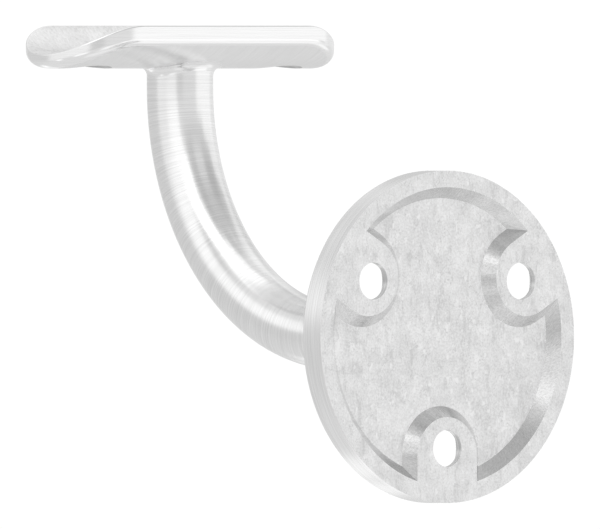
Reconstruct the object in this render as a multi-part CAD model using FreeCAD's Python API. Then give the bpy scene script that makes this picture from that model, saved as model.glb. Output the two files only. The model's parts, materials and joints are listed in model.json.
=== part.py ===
"""Handrail bracket: one investment casting in stainless steel that carries a round tube beside a wall.

A round plate screws to the wall, a round bar leaves its middle, bends upwards through a quarter circle
and ends under a trough-shaped saddle in which the tube lies. Plate, arm and saddle are poured as one
piece, so the whole bracket is one solid with cast fillets where the arm meets the plate and the saddle.

Frame, in millimetres: the origin is the centre of the plate's back, on the wall. +Y points into the
wall, so the bracket stands out along -Y. +Z is up, and the tube lies along X.
"""

import FreeCAD
import Part

import math
import os

from FreeCAD import Vector

# Wall plate
plate_diameter = 70.0
plate_thickness = 6.0
plate_front_chamfer = 0.4  # on the rim's edge towards the room

# Hollow in the plate's back: a ring of metal and a pad at each screw stay to bear on the wall
hollow_diameter = 63.0
hollow_depth = 2.3
hollow_wall_angle = 45.0  # slope of its walls, in degrees from the plate's axis

# Wall screws, countersunk from the room
wall_screw_count = 3
wall_screw_circle = 47.0
wall_screw_hole = 7.8
wall_screw_head = 15.0
wall_screw_recess = 1.0  # straight-sided part of the countersink, which lets the screw's head in deeper
pad_width = 16.4  # the pad's inner end is a half circle of this width
pad_setback = 1.6  # how far outside the screw that half circle is centred

# Arm
arm_diameter = 14.0
arm_bend_radius = 52.4
neck_length = 4.1  # straight length between the bend and the lowest line of the saddle
rail_distance = 87.1  # from the wall to the middle of the tube
cast_fillet = 2.3  # where the arm runs into the plate and into the saddle

# Saddle under the tube
rail_diameter = 42.4
saddle_length = 75.6
saddle_width = 30.5
saddle_wall = 3.0
saddle_height = 9.05  # from its lowest line to the flat on top of its two rims
saddle_under_round = 2.1  # the outer edge all the way round the underside

# Tube screws, countersunk from below
rail_screw_spacing = 52.5
rail_screw_hole = 6.5
rail_screw_head = 12.0

countersink_angle = 90.0  # full angle of every screw head, in degrees

# Worked out from the sizes above
origin = Vector(0, 0, 0)
into_wall = Vector(0, 1, 0)
to_room = Vector(0, -1, 0)
along_rail = Vector(1, 0, 0)
up = Vector(0, 0, 1)

plate_radius = plate_diameter / 2
arm_radius = arm_diameter / 2
seat_radius = rail_diameter / 2
under_radius = seat_radius + saddle_wall

web_middle = -(hollow_depth + plate_thickness) / 2  # Y of the middle of the metal behind the hollow
bend_start = -(rail_distance - arm_bend_radius)  # Y where the arm stops being level
under_height = arm_bend_radius + neck_length  # Z of the saddle's lowest line
rail_height = under_height + under_radius

quarter_middle = math.sqrt(0.5)  # sine and cosine at the middle of a quarter circle
touching = 0.01  # how near to a surface counts as on it


def from_rail_axis(point):
    """How far a point lies from the tube's axis."""
    return math.hypot(point.y + rail_distance, point.z - rail_height)


def edges_where(shape, is_there):
    """The edges of which every sampled point passes the test."""
    found = []
    for edge in shape.Edges:
        if all(is_there(point) for point in edge.discretize(9)):
            found.append(edge)
    return found


def round_the_screw_circle(shape):
    """Copies of what is made at the lowest wall screw, turned about the plate's axis to each screw."""
    copies = []
    for number in range(wall_screw_count):
        copy = shape.copy()
        copy.rotate(origin, into_wall, number * 360.0 / wall_screw_count)
        copies.append(copy)
    return copies


def countersunk_hole(hole, head, depth, mouth, direction):
    """A drilled hole with a conical mouth, which starts at the mouth and runs along direction."""
    cone_depth = (head - hole) / 2 / math.tan(math.radians(countersink_angle / 2))
    bore = Part.makeCylinder(hole / 2, depth, mouth, direction)
    cone = Part.makeCone(head / 2, hole / 2, cone_depth, mouth, direction)
    return bore.fuse(cone)


def plate_disc():
    """The plate before it is hollowed and drilled, its front edge chamfered."""
    disc = Part.makeCylinder(plate_radius, plate_thickness, origin, to_room)

    def on_front_rim(point):
        at_front = abs(point.y + plate_thickness) < touching
        return at_front and abs(math.hypot(point.x, point.z) - plate_radius) < touching

    return disc.makeChamfer(plate_front_chamfer, edges_where(disc, on_front_rim))


def screw_pad():
    """The metal left standing at the lowest wall screw: a round inner end and two sides that run
    straight out to the rim, all sloping like the hollow's wall."""
    top = pad_width / 2
    foot = top + hollow_depth * math.tan(math.radians(hollow_wall_angle))
    centre = Vector(0, 0, -(wall_screw_circle / 2 + pad_setback))
    round_end = Part.makeCone(foot, top, hollow_depth, centre + to_room * hollow_depth, into_wall)
    corners = [
        centre + Vector(-foot, -hollow_depth, 0),
        centre + Vector(foot, -hollow_depth, 0),
        centre + Vector(top, 0, 0),
        centre + Vector(-top, 0, 0),
    ]
    section = Part.Face(Part.makePolygon(corners + corners[:1]))
    return round_end.fuse(section.extrude(up * -plate_radius))


def back_hollow():
    """What is hollowed out of the plate's back: a shallow dish with sloping walls, less the pads."""
    mouth = hollow_diameter / 2
    floor = mouth - hollow_depth * math.tan(math.radians(hollow_wall_angle))
    dish = Part.makeCone(floor, mouth, hollow_depth, to_room * hollow_depth, into_wall)
    return dish.cut(round_the_screw_circle(screw_pad()))


def wall_screw_holes():
    """The countersunk holes on the screw circle, one of them straight below the arm."""
    front = Vector(0, -plate_thickness, -wall_screw_circle / 2)
    recess = Part.makeCylinder(wall_screw_head / 2, wall_screw_recess, front, into_wall)
    mouth = front + into_wall * wall_screw_recess
    hole = countersunk_hole(wall_screw_hole, wall_screw_head, plate_thickness, mouth, into_wall)
    return round_the_screw_circle(hole.fuse(recess))


def arm_bar():
    """The round bar swept along its middle line: level, a quarter circle, and a short upright neck.
    It starts inside the plate's web and ends inside the saddle's wall."""
    start = Vector(0, web_middle, 0)
    bend_from = Vector(0, bend_start, 0)
    bend_centre = Vector(0, bend_start, arm_bend_radius)
    bend_middle = bend_centre + (to_room - up) * (arm_bend_radius * quarter_middle)
    bend_to = Vector(0, -rail_distance, arm_bend_radius)
    end = Vector(0, -rail_distance, under_height + saddle_wall / 2)
    line = [
        Part.LineSegment(start, bend_from),
        Part.Arc(bend_from, bend_middle, bend_to),
        Part.LineSegment(bend_to, end),
    ]
    left = start - along_rail * arm_radius
    right = start + along_rail * arm_radius
    halves = [
        Part.Arc(right, start + up * arm_radius, left),
        Part.Arc(left, start - up * arm_radius, right),
    ]
    path = Part.Wire([piece.toShape() for piece in line])
    section = Part.Wire([half.toShape() for half in halves])
    return path.makePipeShell([section], True, True)


def saddle_blank():
    """The saddle before its trough is cut: an upright block with half-round ends and a flat top, cut
    round underneath about the tube's axis, with its lower edge rounded."""
    end_radius = saddle_width / 2
    middle = Vector(0, -rail_distance, under_height)
    back = into_wall * end_radius
    run = along_rail * (saddle_length / 2 - end_radius)
    tip = along_rail * (saddle_length / 2)
    outline = [
        Part.LineSegment(middle - run + back, middle + run + back),
        Part.Arc(middle + run + back, middle + tip, middle + run - back),
        Part.LineSegment(middle + run - back, middle - run - back),
        Part.Arc(middle - run - back, middle - tip, middle - run + back),
    ]
    plan = Part.Face(Part.Wire([piece.toShape() for piece in outline]))
    block = plan.extrude(up * saddle_height)
    blank = block.common(bar_along_rail(under_radius))

    def on_under_edge(point):
        return abs(from_rail_axis(point) - under_radius) < touching

    return blank.makeFillet(saddle_under_round, edges_where(blank, on_under_edge))


def bar_along_rail(radius):
    """A bar of this radius on the tube's axis, longer than the saddle at both ends."""
    end = Vector(-saddle_length, -rail_distance, rail_height)
    return Part.makeCylinder(radius, 2 * saddle_length, end, along_rail)


def rail_screw_holes():
    """The two countersunk holes through the saddle, one on each side of the arm."""
    holes = []
    for side in (-1, 1):
        mouth = Vector(side * rail_screw_spacing / 2, -rail_distance, under_height)
        holes.append(countersunk_hole(rail_screw_hole, rail_screw_head, under_radius, mouth, up))
    return holes


def bracket():
    """Plate, arm and saddle joined and filleted, then hollowed, cut to the tube and drilled."""
    body = plate_disc().fuse([arm_bar(), saddle_blank()]).removeSplitter()

    def at_arm_root(point):
        on_level_arm = abs(math.hypot(point.x, point.z) - arm_radius) < touching
        at_plate = abs(point.y + plate_thickness) < touching
        on_neck = abs(math.hypot(point.x, point.y + rail_distance) - arm_radius) < touching
        at_saddle = abs(from_rail_axis(point) - under_radius) < touching
        return (on_level_arm and at_plate) or (on_neck and at_saddle)

    body = body.makeFillet(cast_fillet, edges_where(body, at_arm_root))
    hollows = [back_hollow(), bar_along_rail(seat_radius)]
    return body.cut(hollows + wall_screw_holes() + rail_screw_holes())


def main():
    os.makedirs("parts", exist_ok=True)
    solid = bracket()
    solid.exportStep("parts/bracket.step")
    size = solid.BoundBox
    print("bracket: %d solid, valid: %s" % (len(solid.Solids), solid.isValid()))
    print("box %.1f x %.1f x %.1f mm" % (size.XLength, size.YLength, size.ZLength))
    print("volume %.1f cm3" % (solid.Volume / 1000))


main()
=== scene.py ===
"""How the handrail bracket looks: one investment casting in stainless steel, brushed where it shows in
use and left with its cast skin where it meets the wall and the tube. All lengths are in metres."""

import json
import math

import bpy
import numpy as np
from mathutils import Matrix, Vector
from mathutils.geometry import delaunay_2d_cdt


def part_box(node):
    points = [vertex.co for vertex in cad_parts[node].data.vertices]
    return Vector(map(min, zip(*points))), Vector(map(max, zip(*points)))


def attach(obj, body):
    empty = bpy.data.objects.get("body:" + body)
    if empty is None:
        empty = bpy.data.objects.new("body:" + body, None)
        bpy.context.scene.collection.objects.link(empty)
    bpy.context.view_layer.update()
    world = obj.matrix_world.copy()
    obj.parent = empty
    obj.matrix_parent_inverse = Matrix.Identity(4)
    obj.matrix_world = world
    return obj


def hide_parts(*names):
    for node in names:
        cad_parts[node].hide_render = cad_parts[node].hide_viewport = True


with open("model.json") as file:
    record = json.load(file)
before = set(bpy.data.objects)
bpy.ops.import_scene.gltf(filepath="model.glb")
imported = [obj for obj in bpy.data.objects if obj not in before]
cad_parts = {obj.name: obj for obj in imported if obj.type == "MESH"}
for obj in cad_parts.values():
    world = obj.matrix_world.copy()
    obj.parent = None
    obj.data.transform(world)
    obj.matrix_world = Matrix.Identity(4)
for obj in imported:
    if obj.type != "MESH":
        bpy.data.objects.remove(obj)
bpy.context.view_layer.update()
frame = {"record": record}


# ---------------------------------------------------------------------------------------------------
# Wall plate
# The disc that screws to the wall. It is cast with the arm, its rim is turned and brushed, and its back
# keeps the cast skin, with a shallow hollow that leaves a ring and three pads to bear on the wall.
# ---------------------------------------------------------------------------------------------------

MM = 0.001
MICROMETRE = 1e-6
box_low, box_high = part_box("bracket")
mounts = {mount["name"]: mount for mount in frame["record"]["mounts"]}

plate_radius = -box_low.z
plate_thickness = 6 * MM
plate_front_round = 0.6 * MM
hollow_radius = 31.5 * MM
hollow_depth = 2.3 * MM
screw_circle_radius = mounts["wall_screws"]["dims"]["pcd_mm"] / 2 * MM
screw_angles = np.radians([30, 150, 270])
pad_half_width = 8.2 * MM
pad_end_radius = screw_circle_radius + 1.6 * MM  # the pads' round inner ends are centred here


def linear(hex_colour):
    """An sRGB hex colour as linear red, green, blue and alpha, by the curve of the sRGB standard."""
    parts = [int(hex_colour[i:i + 2], 16) / 255 for i in (1, 3, 5)]
    return tuple(p / 12.92 if p <= 0.04045 else ((p + 0.055) / 1.055) ** 2.4 for p in parts) + (1.0,)


def add_node(tree, kind, inputs=None, **settings):
    """A node with its settings, and its inputs set to a value or linked from a socket."""
    node = tree.nodes.new(kind)
    for name, value in settings.items():
        setattr(node, name, value)
    for name, value in (inputs or {}).items():
        if isinstance(value, bpy.types.NodeSocket):
            tree.links.new(value, node.inputs[name])
        else:
            node.inputs[name].default_value = value
    return node


finishes = {}  # each finish's material, in the order of the casting's material slots


def start_steel(name, roughness):
    """A bare steel finish to which its marks are added: its node tree and its shader."""
    material = bpy.data.materials.new("stainless_steel_" + name)
    material.use_nodes = True
    shader = material.node_tree.nodes["Principled BSDF"]
    shader.inputs["Metallic"].default_value = 1.0
    shader.inputs["Roughness"].default_value = roughness
    finishes[name] = material
    return material.node_tree, shader


MARKS_LOW, MARKS_HIGH = 0.36, 0.64  # the noises of the marks add up to values between these


def marked_steel(name, dark, light, roughness, marks, depth):
    """Steel covered in fine marks that all run one way. Each kind of mark is a noise stretched to the
    mark's length and squeezed to its width, in millimetres, and has a share of the whole. The marks
    shift the metal's colour between dark and light, and are cut to a depth in micrometres. A real mark
    is 0.05 mm wide or less, and is drawn several times coarser so that it shows."""
    tree, shader = start_steel(name, roughness)
    place = add_node(tree, "ShaderNodeAttribute", attribute_name="surface").outputs["Vector"]
    height = None
    for length, width, share in marks:
        spot = add_node(tree, "ShaderNodeMapping", {
            "Vector": place, "Scale": (1 / (length * MM), 1 / (length * MM), 1 / (width * MM))}).outputs[0]
        noise = add_node(tree, "ShaderNodeTexNoise", {"Vector": spot, "Scale": 1.0, "Detail": 2.0})
        part = add_node(tree, "ShaderNodeMath", {0: noise.outputs[0], 1: share},
                        operation="MULTIPLY").outputs[0]
        height = part if height is None else add_node(
            tree, "ShaderNodeMath", {0: height, 1: part}, operation="ADD").outputs[0]
    tone = add_node(tree, "ShaderNodeMapRange", {
        "Value": height, "From Min": MARKS_LOW, "From Max": MARKS_HIGH}).outputs[0]
    colour = add_node(tree, "ShaderNodeMix", {
        0: tone, 6: linear(dark), 7: linear(light)}, data_type="RGBA").outputs[2]
    tree.links.new(colour, shader.inputs["Base Color"])
    bump = add_node(tree, "ShaderNodeBump", {
        "Height": height, "Distance": depth * MICROMETRE}).outputs[0]
    tree.links.new(bump, shader.inputs["Normal"])


# stainless steel, turned in a lathe: fine rings round the rim, and reflections drawn out across them
marked_steel("turned_rim", "#F0F0F0", "#FEFEFE", 0.24, [(14, 0.25, 0.7), (30, 1.1, 0.3)], 4)


def cast_steel(name, dark, light, roughness, stretch, depth, patterns):
    """Steel as it left the mould, a grey that wanders between dark and light as its patterns add up.
    The first pattern is the sand's grain, which is also cut to a depth in micrometres. A pattern is a
    noise of a size in millimetres, made so many times as tall, with some levels of detail. Folded at
    0.5 it turns back on itself there, so that its middle values become a crease, and folded at 1 it
    stays as it is. Between a low and a high value it gives its whole change of tone. stretch draws
    every pattern out, axis by axis."""
    tree, shader = start_steel(name, roughness)
    place = add_node(tree, "ShaderNodeAttribute", attribute_name="surface").outputs["Vector"]
    sand = tone = None
    for size, tall, detail, fold, low, high, change in patterns:
        spot = add_node(tree, "ShaderNodeMapping", {"Vector": place, "Scale": tuple(
            1 / (size * MM * part) for part in (stretch[0], stretch[1], stretch[2] * tall))}).outputs[0]
        noise = add_node(tree, "ShaderNodeTexNoise", {
            "Vector": spot, "Scale": 1.0, "Detail": detail, "Roughness": 0.6}).outputs[0]
        sand = sand or noise
        folded = add_node(tree, "ShaderNodeMath", {0: noise, 1: fold}, operation="PINGPONG").outputs[0]
        part = add_node(tree, "ShaderNodeMapRange", {
            "Value": folded, "From Min": low, "From Max": high, "To Max": change}).outputs[0]
        tone = part if tone is None else add_node(
            tree, "ShaderNodeMath", {0: tone, 1: part}, operation="ADD").outputs[0]
    colour = add_node(tree, "ShaderNodeMix", {
        0: tone, 6: linear(dark), 7: linear(light)}, data_type="RGBA").outputs[2]
    tree.links.new(colour, shader.inputs["Base Color"])
    bump = add_node(tree, "ShaderNodeBump", {
        "Height": sand, "Distance": depth * MICROMETRE}).outputs[0]
    tree.links.new(bump, shader.inputs["Normal"])


# stainless steel with its cast skin: pale grey with no clear reflections. The grains of the mould's
# sand are 0.2 mm and are drawn at 0.4 mm so that they show, under clouds of 5 mm, hair-thin creases,
# darker runs nearly three times as tall as they are wide, and pale specks. A pattern's numbers are its
# size, times as tall, detail, fold, low value, high value and change of tone
cast_steel("cast_skin", "#D9D9D9", "#FBFBFB", 0.42, (1, 1, 1.1), 7, [
    (0.4, 1, 2, 1, 0.3, 0.7, 0.62), (5, 1, 5, 1, 0.3, 0.7, 0.6), (3.2, 1, 3, 0.5, 0.488, 0.5, -0.5),
    (1.7, 2.6, 3, 1, 0.56, 0.62, -0.3), (1.3, 1.3, 1, 1, 0.65, 0.72, 0.45)])
# the same skin on the hollow's slopes, smoother from the draw of the mould, so it glints in places
cast_steel("cast_wall", "#CECECE", "#EDEDED", 0.16, (1, 1, 1), 11, [
    (0.4, 1, 2, 1, 0.3, 0.7, 0.7), (4, 1, 4, 1, 0.3, 0.7, 0.5), (2, 1, 3, 0.5, 0.489, 0.5, -0.3)])

skin = []  # the casting's surface, patch by patch: every patch ends on its neighbours' own points


def unit(vectors):
    """Each vector divided by its own length."""
    return vectors / np.linalg.norm(vectors, axis=-1, keepdims=True)


def add_patch(points, normals, faces, around, finish):
    """Adds one patch of the surface. around gives each point's place on the finish's own pattern, in
    metres: two lengths along its marks and one across them. Faces that wind against the normals are
    turned over."""
    corners = points[faces[:, :3]]
    winding = np.cross(corners[:, 1] - corners[:, 0], corners[:, 2] - corners[:, 0])
    wrong = np.einsum("ij,ij->i", winding, normals[faces].mean(1)) < 0
    faces = faces.copy()
    faces[wrong] = faces[wrong][:, ::-1]
    skin.append((points, normals, faces, around, finish))


def add_grid(points, normals, around, finish):
    """Adds a patch whose points are a grid of two parameters, rows by columns, as quads."""
    rows, columns = points.shape[:2]
    index = np.arange(rows * columns).reshape(rows, columns)
    faces = np.stack([index[:-1, :-1], index[:-1, 1:], index[1:, 1:], index[1:, :-1]], -1)
    add_patch(
        points.reshape(-1, 3),
        np.broadcast_to(normals, points.shape).reshape(-1, 3),
        faces.reshape(-1, 4),
        np.broadcast_to(around, points.shape).reshape(-1, 3),
        finish,
    )


def beside(*parts):
    """Three numbers or arrays side by side, as vectors."""
    return np.stack(np.broadcast_arrays(*parts), -1)


def on_plate(radius, angle, depth):
    """Points at a radius and an angle about the plate's axis, at a depth in front of the wall."""
    radius, angle, depth = np.broadcast_arrays(radius, angle, depth)
    return np.stack([radius * np.cos(angle), -depth, radius * np.sin(angle)], -1)


def add_turned(radii, depths, slopes, finish, steps, centre=(0.0, 0.0)):
    """A surface turned about an axis along Y: a profile of radii and depths carried round a circle.
    slopes are the profile's outward normals, as radius and depth parts. A single radius or slope holds
    for the whole profile."""
    angle = np.linspace(0, 2 * math.pi, steps + 1)
    radii, depths = np.broadcast_arrays(radii, depths)
    slopes = np.broadcast_to(slopes, (len(radii), 2))
    points = on_plate(radii[:, None], angle, depths[:, None])
    points += np.array([centre[0], 0, centre[1]])
    normals = unit(on_plate(slopes[:, None, 0], angle, slopes[:, None, 1]))
    run = np.concatenate([[0], np.cumsum(np.hypot(np.diff(radii), np.diff(depths)))])
    points[:, -1] = points[:, 0]
    around = beside(points[..., 0], points[..., 2], run[:, None])
    add_grid(points, normals, around, finish)


def is_inside(points, edges, corners):
    """Whether each plane point lies inside the loops: a ray to the right crosses their edges an odd
    number of times."""
    start, end = corners[edges[:, 0]], corners[edges[:, 1]]
    x, y = points[:, :1], points[:, 1:]
    spans = (start[:, 1] > y) != (end[:, 1] > y)
    rise = np.where(end[:, 1] == start[:, 1], 1, end[:, 1] - start[:, 1])
    crossing = start[:, 0] + (y - start[:, 1]) * (end[:, 0] - start[:, 0]) / rise
    return (spans & (crossing > x)).sum(1) % 2 == 1


ALL_TRIANGLES = 0  # the kind of result asked of the triangulation
SAME_POINT = 1e-9  # metres within which the triangulation takes two points for one
CLEAR_OF_EDGE = 0.6  # grid points nearer to a loop than this share of their spacing are left out
BATCH = 500  # grid points whose distances are worked out at a time, to save memory


def add_filled(loops, lift, normal_at, finish, spacing=None, around=lambda flat, points: points):
    """A patch inside the first loop and outside the others, given in the plane, as a constrained
    Delaunay triangulation. lift carries plane points into space, and normal_at gives their normals.
    With a spacing, a grid of points stands inside, so that the patch can be curved."""
    ring_points = np.concatenate(loops)
    edges, start = [], 0
    for loop in loops:
        index = np.arange(len(loop)) + start
        edges.append(np.stack([index, np.roll(index, -1)], -1))
        start += len(loop)
    edges = np.concatenate(edges)
    points = ring_points
    if spacing:
        low, high = ring_points.min(0), ring_points.max(0)
        axes = [np.arange(low[i] + spacing / 2, high[i], spacing) for i in (0, 1)]
        grid = np.stack(np.meshgrid(*axes, indexing="ij"), -1).reshape(-1, 2)
        keep = is_inside(grid, edges, ring_points)
        gap = np.concatenate([
            np.linalg.norm(grid[i:i + BATCH, None] - ring_points, axis=-1).min(1)
            for i in range(0, len(grid), BATCH)
        ])
        points = np.concatenate([points, grid[keep & (gap > spacing * CLEAR_OF_EDGE)]])
    _, _, triangles, sources, *_ = delaunay_2d_cdt(
        [Vector(p) for p in points.tolist()], edges.tolist(), [], ALL_TRIANGLES, SAME_POINT, True)
    faces = np.array([ids[0] for ids in sources])[np.array(triangles)]
    middle = points[faces].mean(1)
    faces = faces[is_inside(middle, edges, ring_points)]
    in_space = lift(points)
    add_patch(in_space, normal_at(points), faces, around(points, in_space), finish)


def circle(radius, steps, centre=(0.0, 0.0)):
    """A circle in the plane, one point a step."""
    angle = np.linspace(0, 2 * math.pi, steps + 1)[:-1]
    return np.stack([radius * np.cos(angle), radius * np.sin(angle)], -1) + centre


# the rim: a straight cylinder, rounded over at the edge towards the room
RIM_STEPS, RIM_ROWS, ROUND_ROWS = 288, 5, 9
turn = np.linspace(0, math.pi / 2, ROUND_ROWS)
rim_radii = plate_radius - plate_front_round * (1 - np.cos(turn))
rim_depths = plate_thickness - plate_front_round * (1 - np.sin(turn))
rim_slopes = np.stack([np.cos(turn), np.sin(turn)], -1)
add_turned(plate_radius, np.linspace(0, plate_thickness - plate_front_round, RIM_ROWS), (1, 0),
           "turned_rim", RIM_STEPS)
add_turned(rim_radii, rim_depths, rim_slopes, "turned_rim", RIM_STEPS)

# the hollow: its outline shrinks evenly with depth, because all its walls slope at 45 degrees
SLOPE = math.sqrt(0.5)
WALL_ROWS = 5
PAD_SIDE_STEPS, PAD_END_STEPS, RING_STEPS = 9, 49, 73


def hollow_wall(depth):
    """The hollow's outline at a depth, as runs of plane points with the way each wall faces. For each
    screw it goes along one side of the pad to its round end, back along the other side, and round the
    ring to the next pad."""
    reach = hollow_radius - depth
    half = pad_half_width + depth
    runs = []
    for angle in screw_angles:
        out = np.array([math.cos(angle), math.sin(angle)])
        side = np.array([-out[1], out[0]])
        corner = math.sqrt(reach ** 2 - half ** 2)
        straight = np.linspace(corner, pad_end_radius, PAD_SIDE_STEPS)[:, None]
        runs.append((straight * out - half * side, np.broadcast_to(-side, (PAD_SIDE_STEPS, 2))))
        bend = np.linspace(-math.pi / 2, -3 * math.pi / 2, PAD_END_STEPS)[:, None]
        facing = np.cos(bend) * out + np.sin(bend) * side
        runs.append((pad_end_radius * out + half * facing, facing))
        runs.append((straight[::-1] * out + half * side, np.broadcast_to(side, (PAD_SIDE_STEPS, 2))))
        opening = math.asin(half / reach)
        next_pad = angle + 2 * math.pi / len(screw_angles)
        arc = np.linspace(angle + opening, next_pad - opening, RING_STEPS)[:, None]
        inward = np.concatenate([np.cos(arc), np.sin(arc)], -1)
        runs.append((reach * inward, -inward))
    return runs


def outline(depth):
    """The hollow's outline at a depth as one closed loop, each corner given once."""
    return np.concatenate([points[:-1] for points, facing in hollow_wall(depth)])


row_depths = np.linspace(0, hollow_depth, WALL_ROWS)
RUN_SHIFT = 10 * MM  # how far apart the runs are taken from the pattern, so that none repeats another
for number, rows in enumerate(zip(*[hollow_wall(depth) for depth in row_depths])):
    flat = np.stack([points for points, facing in rows])
    facing = np.stack([facing for points, facing in rows])
    depth = row_depths[:, None]
    run = np.cumsum(np.linalg.norm(np.diff(flat[:1], axis=1, prepend=flat[:1, :1]), axis=-1), 1)
    add_grid(beside(flat[..., 0], -depth, flat[..., 1]),
             beside(facing[..., 0], 1.0, facing[..., 1]) * SLOPE,
             beside(depth, number * RUN_SHIFT, run), "cast_wall")


def at_depth(depth):
    """Lifts plane points to the plane at this depth in front of the wall."""
    return lambda flat: np.stack([flat[:, 0], np.full(len(flat), -depth), flat[:, 1]], -1)


def all_facing(normal):
    """Gives every plane point the same normal."""
    return lambda flat: np.broadcast_to(normal, (len(flat), 3))


to_wall, to_room = (0.0, 1.0, 0.0), (0.0, -1.0, 0.0)
add_filled([outline(hollow_depth)], at_depth(hollow_depth), all_facing(to_wall), "cast_skin")

# ---------------------------------------------------------------------------------------------------
# Wall screw holes
# Three drilled holes in the pads, countersunk from the room. The drill and the countersink leave fine
# turned marks, and the edges are left sharp.
# ---------------------------------------------------------------------------------------------------

# stainless steel, drilled and countersunk: duller than the brushed faces, with rings from the tool
marked_steel("drilled", "#CECECE", "#E8E8E8", 0.26, [(8, 0.25, 1.0)], 4)

screw_hole = mounts["wall_screws"]["dims"]["hole_r_mm"] * MM
screw_head = 7.5 * MM
screw_recess = 1 * MM
countersink_depth = screw_head - screw_hole  # it opens at 45 degrees a side
HOLE_STEPS, LAND_ROWS, SINK_ROWS = 96, 4, 9

hole_centres = screw_circle_radius * np.stack([np.cos(screw_angles), np.sin(screw_angles)], -1)
recess_foot = plate_thickness - screw_recess
land = recess_foot - countersink_depth
hole_profile = [  # radii, depths and slope of the plain hole, the countersink and the recess
    (screw_hole, np.linspace(0, land, LAND_ROWS), (-1, 0)),
    (np.linspace(screw_hole, screw_head, SINK_ROWS), np.linspace(land, recess_foot, SINK_ROWS), (-1, 1)),
    (screw_head, [recess_foot, plate_thickness], (-1, 0)),
]
for centre in hole_centres:
    for radii, depths, slope in hole_profile:
        add_turned(radii, depths, slope, "drilled", HOLE_STEPS, centre)

hole_rings = [circle(screw_hole, HOLE_STEPS, centre) for centre in hole_centres]
add_filled([circle(plate_radius, RIM_STEPS), outline(0.0)] + hole_rings,
           at_depth(0.0), all_facing(to_wall), "cast_skin")

# ---------------------------------------------------------------------------------------------------
# Arm
# A round bar, cast with the plate, that runs level, turns up through a quarter circle and meets the
# saddle. It is brushed round and round, and runs into its neighbours with small cast fillets.
# ---------------------------------------------------------------------------------------------------

# stainless steel, brushed round and round with an abrasive belt: fine rings that fray its reflections
marked_steel("brushed_arm", "#F2F2F2", "#FEFEFE", 0.2, [(12, 0.2, 0.95), (20, 0.6, 0.05)], 3.5)
# stainless steel, the fillet under the saddle blended by hand with a felt bob: smooth, bright glints
marked_steel("blended", "#F6F6F6", "#FDFDFD", 0.2, [(6, 0.25, 1.0)], 0.2)
# stainless steel, satin finished with a fine abrasive: softer reflections and fainter marks
marked_steel("satin", "#F4F4F4", "#FCFCFC", 0.28, [(8, 0.25, 1.0)], 2)

arm_radius = 7 * MM
bend_radius = 52.4 * MM
fillet = 2.3 * MM
rail_y = mounts["rail_seat"]["pos_m"][1]
seat_low = mounts["rail_seat"]["pos_m"][2]
seat_radius = mounts["rail_seat"]["dims"]["r_mm"] * MM
saddle_wall = 3 * MM
rail_z = seat_low + seat_radius
under_radius = seat_radius + saddle_wall
bend_y = rail_y + bend_radius
ARM_STEPS = 192
FOOT_ROWS, LEVEL_ROWS, BEND_ROWS, NECK_ROWS, HEAD_ROWS = 11, 40, 141, 9, 21
HEAD_TURN = 1.4  # radians through which the fillet under the saddle turns, on average

arm_angle = np.linspace(0, 2 * math.pi, ARM_STEPS + 1)
cos_arm, sin_arm = np.cos(arm_angle), np.sin(arm_angle)
cos_arm[-1], sin_arm[-1] = cos_arm[0], sin_arm[0]


def on_bar(run):
    """Places on the brushing's pattern: right round the bar, and this far along it."""
    return beside(arm_radius * cos_arm, arm_radius * sin_arm, run)


def turned_towards(first, last, steps):
    """Unit vectors that turn evenly from first to last, one row a step: a great circle's arc."""
    angle = np.arccos(np.clip((first * last).sum(-1, keepdims=True), -1, 1))
    share = np.linspace(0, 1, steps)[:, None, None]
    return (np.sin((1 - share) * angle) * first + np.sin(share * angle) * last) / np.sin(angle)


def section(direction_angle):
    """Outward directions round the bar where its middle line climbs at this angle."""
    up_part, back_part = math.cos(direction_angle), math.sin(direction_angle)
    return np.stack([cos_arm, sin_arm * back_part, sin_arm * up_part], -1)


level_out = section(0.0)
upright_out = section(math.pi / 2)

# fillet at the plate: a ball of the fillet's radius rolled round the bar on the plate's front
ball = on_plate(arm_radius + fillet, arm_angle, plate_thickness + fillet)
ball[-1] = ball[0]
out = turned_towards(np.broadcast_to(to_room, level_out.shape), level_out, FOOT_ROWS)
along = np.linspace(-fillet * math.pi / 2, 0, FOOT_ROWS)
add_grid(ball - fillet * out, out, on_bar(along[:, None]), "brushed_arm")

# the bar itself: level, then round the bend
level_y = np.linspace(-plate_thickness - fillet, bend_y, LEVEL_ROWS)
level_line = beside(0.0, level_y, 0.0)
add_grid(level_line[:, None] + arm_radius * level_out, level_out,
         on_bar((level_y[0] - level_y)[:, None]), "brushed_arm")
length_level = level_y[0] - level_y[-1]
climb = np.linspace(0, math.pi / 2, BEND_ROWS)
bend_line = beside(0.0, bend_y - bend_radius * np.sin(climb), bend_radius * (1 - np.cos(climb)))
bend_out = np.stack([section(angle) for angle in climb])
add_grid(bend_line[:, None] + arm_radius * bend_out, bend_out,
         on_bar(length_level + climb[:, None] * bend_radius), "brushed_arm")
length_bend = length_level + bend_radius * math.pi / 2

# neck and its fillet: the ball rolls round the bar under the saddle, so it rises and falls
ball_side = (arm_radius + fillet) * sin_arm
ball_height = rail_z - np.sqrt((under_radius + fillet) ** 2 - ball_side ** 2)
ball = np.stack([(arm_radius + fillet) * cos_arm, rail_y + ball_side, ball_height], -1)
from_rail = unit(beside(0.0, ball_side, ball_height - rail_z))
neck_foot = bend_line[-1] + arm_radius * upright_out
neck_head = ball - fillet * upright_out
share = np.linspace(0, 1, NECK_ROWS)[:, None, None]
neck_points = neck_foot * (1 - share) + neck_head * share
add_grid(neck_points, upright_out, on_bar(length_bend + neck_points[..., 2] - bend_radius),
         "brushed_arm")
out = turned_towards(upright_out, from_rail, HEAD_ROWS)
length_neck = length_bend + neck_head[:, 2] - bend_radius
add_grid(ball - fillet * out, out,
         on_bar(length_neck + fillet * np.linspace(0, HEAD_TURN, HEAD_ROWS)[:, None]), "blended")
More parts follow.
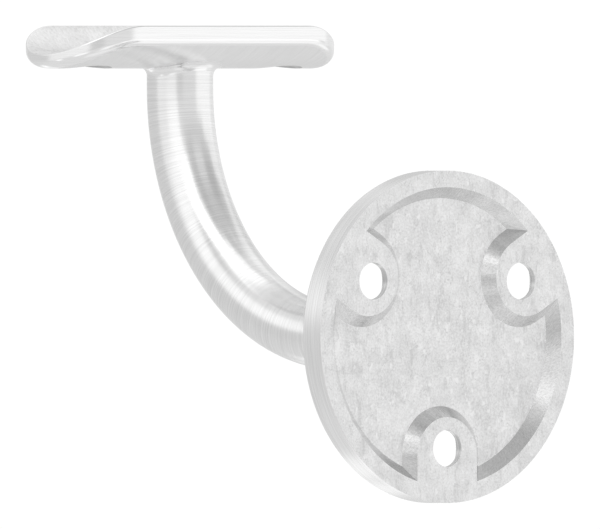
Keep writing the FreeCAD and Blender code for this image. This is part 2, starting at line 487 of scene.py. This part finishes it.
saddle_root = (ball - fillet * from_rail)[:-1, :2]

# the plate's front, finished round its middle, with room left for the screw holes and the fillet
add_filled([circle(plate_radius - plate_front_round, RIM_STEPS)]
           + [circle(screw_head, HOLE_STEPS, centre) for centre in hole_centres]
           + [circle(arm_radius + fillet, ARM_STEPS)],
           at_depth(plate_thickness), all_facing(to_room), "satin",
           around=lambda flat, points: np.concatenate([
               plate_radius * unit(flat), np.linalg.norm(flat, axis=-1, keepdims=True)], -1))

# ---------------------------------------------------------------------------------------------------
# Saddle
# The trough under the tube, with half-round ends. Its sides are brushed lengthwise, its underside is
# satin, and the trough keeps the cast skin. The rim of the trough has only its burr taken off.
# ---------------------------------------------------------------------------------------------------

# stainless steel, brushed lengthwise: long fine lines that follow the saddle's outline
marked_steel("brushed_side", "#F8F8F8", "#FEFEFE", 0.14, [(18, 0.22, 0.75), (40, 0.8, 0.25)], 0.9)
# stainless steel, the trough's cast skin, drawn out across the saddle by the mould: pale soft streaks
cast_steel("cast_seat", "#E4E4E4", "#FFFFFF", 0.26, (2.2, 2.2, 1), 8, [
    (0.4, 1, 2, 1, 0.3, 0.7, 0.6), (4, 1, 4, 1, 0.3, 0.7, 0.65), (2.2, 1, 3, 1, 0.58, 0.63, -0.2)])

saddle_half_length = box_high.x
saddle_end_radius = rail_y - box_low.y
under_round = 2.1 * MM
seat_edge_round = 0.3 * MM

straight_half = saddle_half_length - saddle_end_radius
END_STEPS, SIDE_STEPS = 97, 94
RIM_ROLL_ROWS, SIDE_ROWS, EDGE_ROLL_ROWS = 6, 7, 13
end_turn = np.linspace(-math.pi / 2, math.pi / 2, END_STEPS)
end_out = np.stack([np.cos(end_turn), np.sin(end_turn)], -1)
side_run = np.linspace(-1, 1, SIDE_STEPS)


def closed(east, north):
    """An end and a side of the saddle, their opposites, and the first point again, as one loop."""
    return np.concatenate([east[:-1], north[:-1], -east[:-1], -north[:-1], east[:1]])


def stadium(inset):
    """The saddle's plan, inset by a distance, from the start of its east end round to the same point
    again: half circles about the middles of its ends, joined by straight sides."""
    radius = saddle_end_radius - inset
    east = [straight_half, 0.0] + radius * end_out
    north = beside(-straight_half * side_run, radius)
    return closed(east, north)


sides = closed(end_out, np.broadcast_to([0.0, 1.0], (SIDE_STEPS, 2)))
side_out = beside(sides[:, 0], sides[:, 1], 0.0)
plan = stadium(0.0)


def below_rail(flat, radius):
    """Heights under the tube's axis at this radius, for plane points measured from that axis."""
    return rail_z - np.sqrt(radius ** 2 - flat[..., 1] ** 2)


def in_place(flat, height):
    """Plane points about the saddle's middle, carried to the saddle at a height."""
    return beside(flat[..., 0], flat[..., 1] + rail_y, height)


# rim of the trough: a tiny ball rolled inside the edge between trough and side
ball_plan = stadium(seat_edge_round)
ball = in_place(ball_plan, below_rail(ball_plan, seat_radius + seat_edge_round))
to_rail = unit(beside(0.0, rail_y - ball[:, 1], rail_z - ball[:, 2]))
out = turned_towards(to_rail, side_out, RIM_ROLL_ROWS)
rim_grid = ball + seat_edge_round * out
rim_run = np.linspace(-seat_edge_round, 0, RIM_ROLL_ROWS)[:, None]
add_grid(rim_grid, out, beside(plan[:, 0], plan[:, 1], rim_run), "brushed_side")
seat_loop = rim_grid[0][:-1, :2] - [0, rail_y]
side_top = rim_grid[-1]

# lower edge: a larger ball rolled inside the edge between side and underside
ball_plan = stadium(under_round)
ball = in_place(ball_plan, below_rail(ball_plan, under_radius - under_round))
from_rail = unit(beside(0.0, ball[:, 1] - rail_y, ball[:, 2] - rail_z))
out = turned_towards(side_out, from_rail, EDGE_ROLL_ROWS)
edge_grid = ball + under_round * out
side_foot = edge_grid[0]
edge_run = (seat_low - side_foot[:, 2]) + under_round * np.linspace(0, 1, EDGE_ROLL_ROWS)[:, None]
under_loop = edge_grid[-1][:-1, :2] - [0, rail_y]

# the side, straight down from the rim of the trough to the lower edge
share = np.linspace(0, 1, SIDE_ROWS)[:, None, None]
side_grid = side_top * (1 - share) + side_foot * share
add_grid(side_grid, side_out, beside(plan[:, 0], plan[:, 1], seat_low - side_grid[..., 2]),
         "brushed_side")
add_grid(edge_grid, out, beside(plan[:, 0], plan[:, 1], edge_run), "brushed_side")

# ---------------------------------------------------------------------------------------------------
# Tube screw holes
# Two holes through the saddle, countersunk from below for the screws that hold the tube.
# ---------------------------------------------------------------------------------------------------

# stainless steel, countersunk by a cutter that chatters a little: grey rings from the cutter, on a darker
# grey that is painted shade standing in for the shade inside the countersinks
marked_steel("countersunk", "#BCBCBC", "#D8D8D8", 0.3, [(6, 0.25, 1.0)], 4)

rail_hole = mounts["rail_screws"]["dims"]["hole_r_mm"] * MM
rail_head = 6 * MM
rail_hole_spacing = mounts["rail_screws"]["dims"]["spacing_x_mm"] * MM
under_low = seat_low - saddle_wall

SETTLE_ROUNDS = 12
DEPTH_ROWS = 7
hole_angle = np.linspace(0, 2 * math.pi, HOLE_STEPS + 1)
cos_hole, sin_hole = np.cos(hole_angle), np.sin(hole_angle)
cos_hole[-1], sin_hole[-1] = cos_hole[0], sin_hole[0]

# the cone narrows by as much as it climbs, so its mouth is wider where the underside hangs lower: the
# mouth's radius is worked out from its height and its height from its radius, until they agree
mouth = np.full_like(hole_angle, rail_head)
for repeat in range(SETTLE_ROUNDS):
    mouth = rail_head - (rail_z - np.sqrt(under_radius ** 2 - (mouth * sin_hole) ** 2) - under_low)
share = np.linspace(0, 1, DEPTH_ROWS)[:, None]
cone_radii = mouth * (1 - share) + rail_hole * share
cone_heights = under_low + rail_head - cone_radii
bore_top = rail_z - np.sqrt(seat_radius ** 2 - (rail_hole * sin_hole) ** 2)
bore_foot = under_low + rail_head - rail_hole
bore_heights = bore_foot * (1 - share) + bore_top * share

under_loops, seat_loops = [under_loop], [seat_loop]
out = beside(cos_hole, sin_hole, 0.0)
for centre_x in (-rail_hole_spacing / 2, rail_hole_spacing / 2):
    cone = beside(centre_x + cone_radii * cos_hole, rail_y + cone_radii * sin_hole, cone_heights)
    # the cone takes the countersunk finish, whose darker grey is painted shade
    add_grid(cone, (-out + [0, 0, -1]) * SLOPE, cone, "countersunk")
    bore = beside(centre_x + rail_hole * cos_hole, rail_y + rail_hole * sin_hole, bore_heights)
    add_grid(bore, -out, bore, "drilled")
    under_loops.append(cone[0][:-1, :2] - [0, rail_y])
    seat_loops.append(bore[-1][:-1, :2] - [0, rail_y])
under_loops.append(saddle_root - [0, rail_y])
CURVE_SPACING = 1 * MM


def add_trough(loops, radius, outward, finish):
    """A patch inside the loops, bent to a cylinder of this radius that hangs below the tube's axis. Its
    normals point away from the axis where outward is 1, and at it where outward is -1."""
    add_filled(
        loops,
        lambda flat: in_place(flat, below_rail(flat, radius)),
        lambda flat: outward * unit(
            beside(0.0, flat[:, 1], -np.sqrt(radius ** 2 - flat[:, 1] ** 2))),
        finish, spacing=CURVE_SPACING, around=lambda flat, points: points[:, [1, 2, 0]])


add_trough(under_loops, under_radius, 1, "satin")
add_trough(seat_loops, seat_radius, -1, "cast_seat")

# ---------------------------------------------------------------------------------------------------
# The casting
# Plate, arm and saddle come out of the mould as one piece of stainless steel, so their patches are
# joined into one closed skin. Points that lie on one another become one, and each corner keeps its own
# normal, so that a sharp edge stays sharp.
# ---------------------------------------------------------------------------------------------------

all_points = np.concatenate([points for points, *_ in skin])
all_normals = np.concatenate([normals for _, normals, *_ in skin])
all_around = np.concatenate([around for *_, around, _ in skin])
weld = 0.001 * MM
KEY_SHIFT = 0.37  # of a weld, so that round sizes don't fall on the border between two whole numbers
keys = np.floor(all_points / weld + KEY_SHIFT).astype(np.int64)
_, first, where = np.unique(keys, axis=0, return_index=True, return_inverse=True)
where = where.ravel()
names = list(finishes)
faces, corner_ids, slots, start = [], [], [], 0
for points, normals, patch_faces, around, finish in skin:
    ids = patch_faces + start
    joined = where[ids]
    keep = np.array([len(set(face)) == len(face) for face in joined.tolist()])
    faces += joined[keep].tolist()
    corner_ids.append(ids[keep].ravel())
    slots += [names.index(finish)] * int(keep.sum())
    start += len(points)
corner_ids = np.concatenate(corner_ids)

mesh = bpy.data.meshes.new("bracket_casting")
mesh.from_pydata(all_points[first].tolist(), [], faces)
mesh.update()
for name in names:
    mesh.materials.append(finishes[name])
mesh.polygons.foreach_set("material_index", slots)
mesh.polygons.foreach_set("use_smooth", [True] * len(faces))
surface = mesh.attributes.new("surface", "FLOAT_VECTOR", "CORNER")
surface.data.foreach_set("vector", all_around[corner_ids].astype(np.float32).ravel())
mesh.normals_split_custom_set(all_normals[corner_ids].tolist())
casting = bpy.data.objects.new("bracket_casting", mesh)
bpy.context.scene.collection.objects.link(casting)
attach(casting, "root")
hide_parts("bracket")

# ---------------------------------------------------------------------------------------------------
# Floor, light and camera
# A pale matt floor a little below the plate, a camera level with the casting, and a studio of
# softboxes round it, which the steel shows as its lights and darks. The camera itself sees white paper.
# ---------------------------------------------------------------------------------------------------

scene = bpy.context.scene
scene.view_settings.view_transform = "Standard"

# board painted with matt emulsion: a plain pale ground with no sheen, clear when seen from below so
# that the underside of the casting can be looked at too
board = bpy.data.materials.new("matt_board")
board.use_nodes = True
paint = board.node_tree.nodes["Principled BSDF"]
paint.inputs["Base Color"].default_value = linear("#E4E4E4")
paint.inputs["Roughness"].default_value = 0.9
from_below = add_node(board.node_tree, "ShaderNodeNewGeometry").outputs["Backfacing"]
clear = add_node(board.node_tree, "ShaderNodeBsdfTransparent")
side_seen = add_node(board.node_tree, "ShaderNodeMixShader", {
    0: from_below, 1: paint.outputs[0], 2: clear.outputs[0]})
board.node_tree.links.new(
    side_seen.outputs[0], board.node_tree.nodes["Material Output"].inputs["Surface"])
floor_gap = 8 * MM
floor_height = box_low.z - floor_gap
floor_reach = 5000 * MM
floor_corners = floor_reach * np.array([[-1, -1, 0], [1, -1, 0], [1, 1, 0], [-1, 1, 0]])
floor_mesh = bpy.data.meshes.new("floor")
floor_mesh.from_pydata((floor_corners + [0, 0, floor_height]).tolist(), [], [(0, 1, 2, 3)])
floor_mesh.materials.append(board)
floor = bpy.data.objects.new("floor", floor_mesh)
scene.collection.objects.link(floor)
floor.visible_glossy = False  # the steel reflects the studio alone

CAMERA_AZIMUTH = 139.75  # degrees round from straight in front of the wall, by way of the east end
CAMERA_DISTANCE = 400 * MM
camera_azimuth = math.radians(CAMERA_AZIMUTH)
to_camera = Vector((math.sin(camera_azimuth), -math.cos(camera_azimuth), 0))
aim = Vector((23.66, -20.03, 15.23)) * MM
camera = bpy.data.objects.new("camera", bpy.data.cameras.new("camera"))
camera.data.type = "ORTHO"
camera.data.ortho_scale = 126.34 * MM
camera.location = aim + to_camera * CAMERA_DISTANCE
camera.rotation_euler = to_camera.to_track_quat("Z", "Y").to_euler()
camera.data.clip_start, camera.data.clip_end = 10 * MM, 10000 * MM
scene.collection.objects.link(camera)
scene.camera = camera

world = bpy.data.worlds.new("studio")
world.use_nodes = True
scene.world = world
studio = world.node_tree
studio.nodes.clear()

# a ray's place in the studio: its azimuth from the saddle's east end and its elevation, in degrees
camera_side = CAMERA_AZIMUTH - 90
ray = add_node(studio, "ShaderNodeTexCoord").outputs["Generated"]
ray = add_node(studio, "ShaderNodeSeparateXYZ", {0: ray}).outputs
turned = add_node(studio, "ShaderNodeMath", {0: ray["Y"], 1: ray["X"]}, operation="ARCTAN2").outputs[0]
turned = add_node(studio, "ShaderNodeMath", {0: turned}, operation="DEGREES").outputs[0]
climbed = add_node(studio, "ShaderNodeMath", {0: ray["Z"]}, operation="ARCSINE").outputs[0]
climbed = add_node(studio, "ShaderNodeMath", {0: climbed}, operation="DEGREES").outputs[0]
where_to = add_node(studio, "ShaderNodeCombineXYZ", {"X": turned, "Y": climbed}).outputs[0]

# each softbox in degrees: azimuth from the camera's side, growing to the camera's right, elevation,
# half width, half height and soft edge, and then its brightness. Each hangs in front of those before it
softboxes = {
    "grey wall behind, left": (-140, 15, 50, 45, 12, 0.68),
    "grey wall behind, right": (158, 28, 45, 40, 12, 0.82),
    "left, low": (-118, 0, 38, 14, 7, 0.64),
    "dark side": (62, 54, 58, 36, 6, 0.56),
    "overhead": (-97, 95, 93, 43, 4, 1.2),
    "behind the overhead": (-130, 52, 18, 5, 4, 0.92),
    "cap": (0, 95, 180, 12, 4, 1.05),
    "overhead, its near end": (5, 81, 25, 7, 5, 1.1),
    "tall, left of the camera": (-26, 46, 19, 24, 4, 1.3),
    "tall, its foot": (-29, 15, 20, 14, 6, 1.08),
    "glint": (-5, 33, 4, 6, 3, 1.2),
    "grey flag": (-104, 43, 26, 6, 4, 0.75),
    "grey flag, its near end": (-57, 36, 13, 7, 4, 0.56),
    "left strip": (-73, 21, 32, 13, 7, 1.02),
    "dark core, near": (20, 51, 13, 12, 6, 0.49),
    "dark core, far": (84, 41, 16, 10, 7, 0.46),
    "pale patch in the dark": (44, 34, 16, 9, 7, 0.72),
    "pale patch, high": (100, 68, 12, 4, 4, 0.7),
    "right, low": (92, 0, 34, 20, 7, 0.98),
    "dark side, its foot": (67, 20, 11, 6, 6, 0.6),
    "right, low, its dark end": (114, -11, 9, 6, 5, 0.78),
    "right, high": (112, 22, 14, 8, 6, 0.86),
    "right, lowest": (74, -20, 31, 7, 5, 1.14),
    "right, below": (64, -33, 48, 12, 6, 0.97),
    "right, behind": (150, 26, 12, 12, 6, 0.68),
    "right, behind, high": (156, 52, 20, 10, 6, 0.95),
    "behind, low, right": (126, -34, 13, 8, 6, 1.0),
    "behind, low": (-171, -29, 8, 5, 4, 1.15),
    "behind, low, left": (-151, -38, 9, 5, 4, 1.15),
    "behind, level": (-174, 16, 14, 14, 6, 0.62),
    "below": (50, -66, 50, 12, 7, 0.86),
    "camera side, level": (-2, -4, 12, 8, 5, 0.62),
    "camera side, low": (-50, -8, 36, 12, 8, 0.87),
    "camera side, lower": (-21, -27, 13, 8, 4, 1.04),
    "left, lower": (-66, -31, 6, 6, 3, 1.1),
}
STUDIO_GREY = 0.74  # the studio's walls, which show between the softboxes
PAPER_WHITE = 1.03  # a touch over white, so that the paper is white all over
HALF_TURN = 180
glow = STUDIO_GREY
for turn_to, climb_to, wide, high, soft, bright in softboxes.values():
    off = add_node(studio, "ShaderNodeVectorMath", {
        0: where_to, 1: (camera_side + turn_to, climb_to, 0)}, operation="SUBTRACT").outputs[0]
    off = add_node(studio, "ShaderNodeVectorMath", {  # how far off it is, the short way round
        0: off, 1: (HALF_TURN,) * 3, 2: (-HALF_TURN,) * 3}, operation="WRAP").outputs[0]
    off = add_node(studio, "ShaderNodeVectorMath", {0: off}, operation="ABSOLUTE").outputs[0]
    masks = add_node(studio, "ShaderNodeMapRange", {
        6: off, 7: (wide + soft, high + soft, 1), 8: (wide - soft, high - soft, 0),
    }, data_type="FLOAT_VECTOR", interpolation_type="SMOOTHSTEP").outputs[1]
    masks = add_node(studio, "ShaderNodeSeparateXYZ", {0: masks}).outputs
    mask = add_node(studio, "ShaderNodeMath", {0: masks["X"], 1: masks["Y"]},
                    operation="MULTIPLY").outputs[0]
    glow = add_node(studio, "ShaderNodeMix", {0: mask, 2: glow, 3: bright}).outputs[0]

seen = add_node(studio, "ShaderNodeLightPath").outputs["Is Camera Ray"]
light = add_node(studio, "ShaderNodeBackground", {"Color": glow})
paper = add_node(studio, "ShaderNodeBackground", {"Color": (PAPER_WHITE,) * 3 + (1,)})
shown = add_node(studio, "ShaderNodeMixShader", {0: seen, 1: light.outputs[0], 2: paper.outputs[0]})
add_node(studio, "ShaderNodeOutputWorld", {"Surface": shown.outputs[0]})
